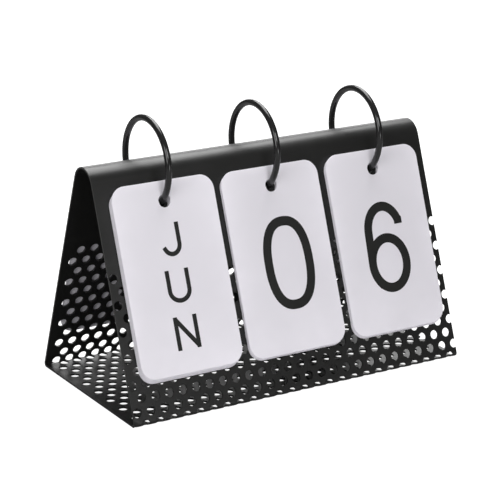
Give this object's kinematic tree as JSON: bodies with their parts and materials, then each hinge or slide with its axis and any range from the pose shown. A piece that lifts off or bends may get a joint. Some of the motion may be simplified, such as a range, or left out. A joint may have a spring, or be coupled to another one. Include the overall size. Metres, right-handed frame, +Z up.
{
  "type": "perpetual desk calendar",
  "caption": "Perpetual desk calendar: folded perforated sheet stand with wire rings over its ridge and hanging packs of month, tens and units cards that flip over to the back",
  "frame": {"origin": "centre of the stand's footprint, on the surface that it stands on", "axes": "+X along the ridge to the viewer's right, +Y to the back, +Z up; the shown cards face -Y"},
  "size_m": [0.2036, 0.1044, 0.1479],
  "materials": {
    "stand_black": "matte black powder coat, fine texture",
    "ring_black": "satin black coated wire",
    "card_white": "smooth matte off-white plastic sheet with dark grey printed characters"
  },
  "bodies": {
    "stand": {"front_panel": "stand_black", "back_panel": "stand_black", "base_panel": "stand_black", "ridge_fold": "stand_black", "front_edge_bend": "stand_black", "back_edge_bend": "stand_black", "month_card_jan": "card_white", "month_card_feb": "card_white", "month_card_mar": "card_white", "month_card_apr": "card_white", "month_card_may": "card_white", "month_card_jul": "card_white", "month_card_aug": "card_white", "month_card_sep": "card_white", "month_card_oct": "card_white", "month_card_nov": "card_white", "month_card_dec": "card_white", "tens_card_1": "card_white", "tens_card_2": "card_white", "tens_card_3": "card_white", "units_card_0": "card_white", "units_card_1": "card_white", "units_card_2": "card_white", "units_card_3": "card_white", "units_card_4": "card_white", "units_card_5": "card_white", "units_card_7": "card_white", "units_card_8": "card_white", "units_card_9": "card_white"},
    "left_ring_body": {"left_ring": "ring_black"},
    "month_card_shown": {"month_card_jun": "card_white"},
    "middle_ring_body": {"middle_ring": "ring_black"},
    "tens_card_shown": {"tens_card_0": "card_white"},
    "right_ring_body": {"right_ring": "ring_black"},
    "units_card_shown": {"units_card_6": "card_white"}
  },
  "joints": [
    {"name": "left_ring_turn", "type": "hinge", "parent": "stand", "child": "left_ring_body", "pos_m": [-0.0647, 0, 0.12302], "axis": [-1, 0, 0], "range_deg": [0, 260.44]},
    {"name": "month_card_swing", "type": "hinge", "parent": "left_ring_body", "child": "month_card_shown", "pos_m": [-0.0647, -0.01815, 0.10809], "axis": [-1, 0, 0], "range_deg": [0, 59.6]},
    {"name": "middle_ring_turn", "type": "hinge", "parent": "stand", "child": "middle_ring_body", "pos_m": [0.0007, 0, 0.12302], "axis": [-1, 0, 0], "range_deg": [0, 272.86]},
    {"name": "tens_card_swing", "type": "hinge", "parent": "middle_ring_body", "child": "tens_card_shown", "pos_m": [0.0007, -0.01686, 0.10665], "axis": [-1, 0, 0], "range_deg": [0, 47.19]},
    {"name": "right_ring_turn", "type": "hinge", "parent": "stand", "child": "right_ring_body", "pos_m": [0.0661, 0, 0.12302], "axis": [-1, 0, 0], "range_deg": [0, 263.58]},
    {"name": "units_card_swing", "type": "hinge", "parent": "right_ring_body", "child": "units_card_shown", "pos_m": [0.0661, -0.01686, 0.10665], "axis": [-1, 0, 0], "range_deg": [0, 56.47]}
  ],
  "couplings": [
    {"joint": "month_card_swing", "follows": "left_ring_turn", "ratio": 0.22866},
    {"joint": "tens_card_swing", "follows": "middle_ring_turn", "ratio": 0.17277},
    {"joint": "units_card_swing", "follows": "right_ring_turn", "ratio": 0.21407}
  ]
}
